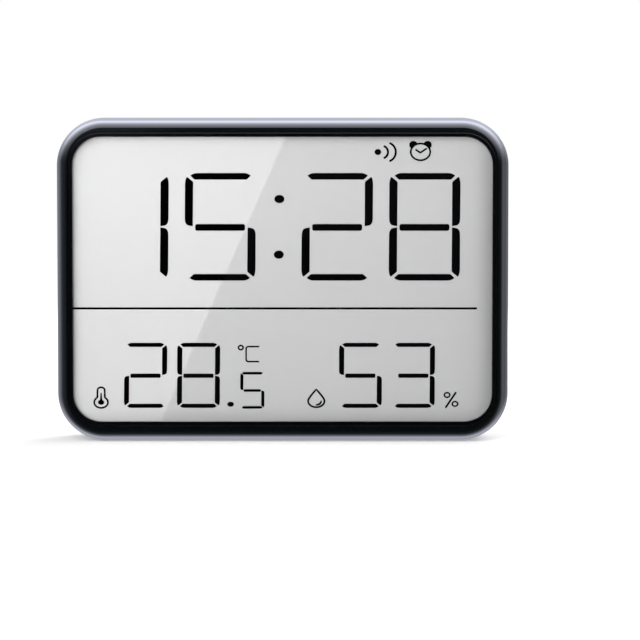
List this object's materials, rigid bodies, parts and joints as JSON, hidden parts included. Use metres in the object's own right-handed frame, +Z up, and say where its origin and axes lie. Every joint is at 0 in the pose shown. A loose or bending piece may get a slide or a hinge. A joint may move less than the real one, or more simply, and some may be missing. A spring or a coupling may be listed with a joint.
{
  "type": "thermometer hygrometer clock",
  "caption": "Desk clock with temperature and humidity display, glossy case, folding loop stand and battery door.",
  "frame": {"origin": "middle of the base, on the surface that the clock stands on", "axes": "+X to the right as one reads the display, +Y from the front to the back, +Z up"},
  "size_m": [0.1, 0.0196, 0.0715],
  "materials": {
    "gloss_black_abs": "glossy moulded black ABS",
    "matt_black_abs": "finely textured black ABS",
    "clear_pmma": "clear polished acrylic pane",
    "black_tape": "black adhesive tape",
    "black_foam": "closed-cell foam ring",
    "polarizer_film": "grey polarizing film",
    "display_glass": "thin float glass",
    "grey_reflector": "silver-grey reflecting film",
    "black_frame": "plain black ABS",
    "elastomer": "conductive elastomer strip",
    "board_laminate": "green solder mask on glass fibre",
    "plated_steel": "zinc-plated steel",
    "black_screw": "black-plated steel",
    "epoxy_drop": "black epoxy",
    "white_housing": "white moulded housing",
    "cell_jacket": "printed steel can",
    "nickel_contact": "nickel-plated spring steel",
    "button_black": "satin black rubber key",
    "plunger_white": "moulded nylon"
  },
  "bodies": {
    "case": {"front_bezel": "gloss_black_abs", "rear_cover": "matt_black_abs", "front_lens": "clear_pmma", "lens_tape": "black_tape", "display_gasket": "black_foam", "front_polarizer": "polarizer_film", "display_front_glass": "display_glass", "display_rear_glass": "display_glass", "reflector_film": "grey_reflector", "display_frame": "black_frame", "zebra_strip": "elastomer", "circuit_board": "board_laminate", "board_screws": "plated_steel", "controller_chip": "epoxy_drop", "quartz_crystal": "plated_steel", "buzzer": "black_frame", "climate_sensor": "white_housing", "key_switches": "black_frame", "upper_battery": "cell_jacket", "lower_battery": "cell_jacket", "negative_contact": "nickel_contact", "positive_contact": "nickel_contact", "series_contact": "nickel_contact", "case_screws": "black_screw"},
    "stand": {"kickstand": "matt_black_abs"},
    "door": {"battery_door": "matt_black_abs"},
    "mode_key": {"mode_button": "button_black", "mode_plunger": "plunger_white"},
    "set_key": {"set_button": "button_black", "set_plunger": "plunger_white"},
    "up_key": {"up_button": "button_black", "up_plunger": "plunger_white"},
    "down_key": {"down_button": "button_black", "down_plunger": "plunger_white"}
  },
  "joints": [
    {"name": "stand_fold", "type": "hinge", "parent": "case", "child": "stand", "pos_m": [0, 0.00825, 0.04], "axis": [1, 0, 0], "range_deg": [0, 45]},
    {"name": "door_tilt", "type": "hinge", "parent": "case", "child": "door", "pos_m": [0, 0.00965, 0.0117], "axis": [-1, 0, 0], "range_deg": [0, 40]},
    {"name": "mode_press", "type": "slide", "parent": "case", "child": "mode_key", "axis": [0, -1, 0], "range_m": [0, 0.0005], "stiffness_N_per_m": 400},
    {"name": "set_press", "type": "slide", "parent": "case", "child": "set_key", "axis": [0, -1, 0], "range_m": [0, 0.0005], "stiffness_N_per_m": 400},
    {"name": "up_press", "type": "slide", "parent": "case", "child": "up_key", "axis": [0, -1, 0], "range_m": [0, 0.0005], "stiffness_N_per_m": 400},
    {"name": "down_press", "type": "slide", "parent": "case", "child": "down_key", "axis": [0, -1, 0], "range_m": [0, 0.0005], "stiffness_N_per_m": 400}
  ]
}
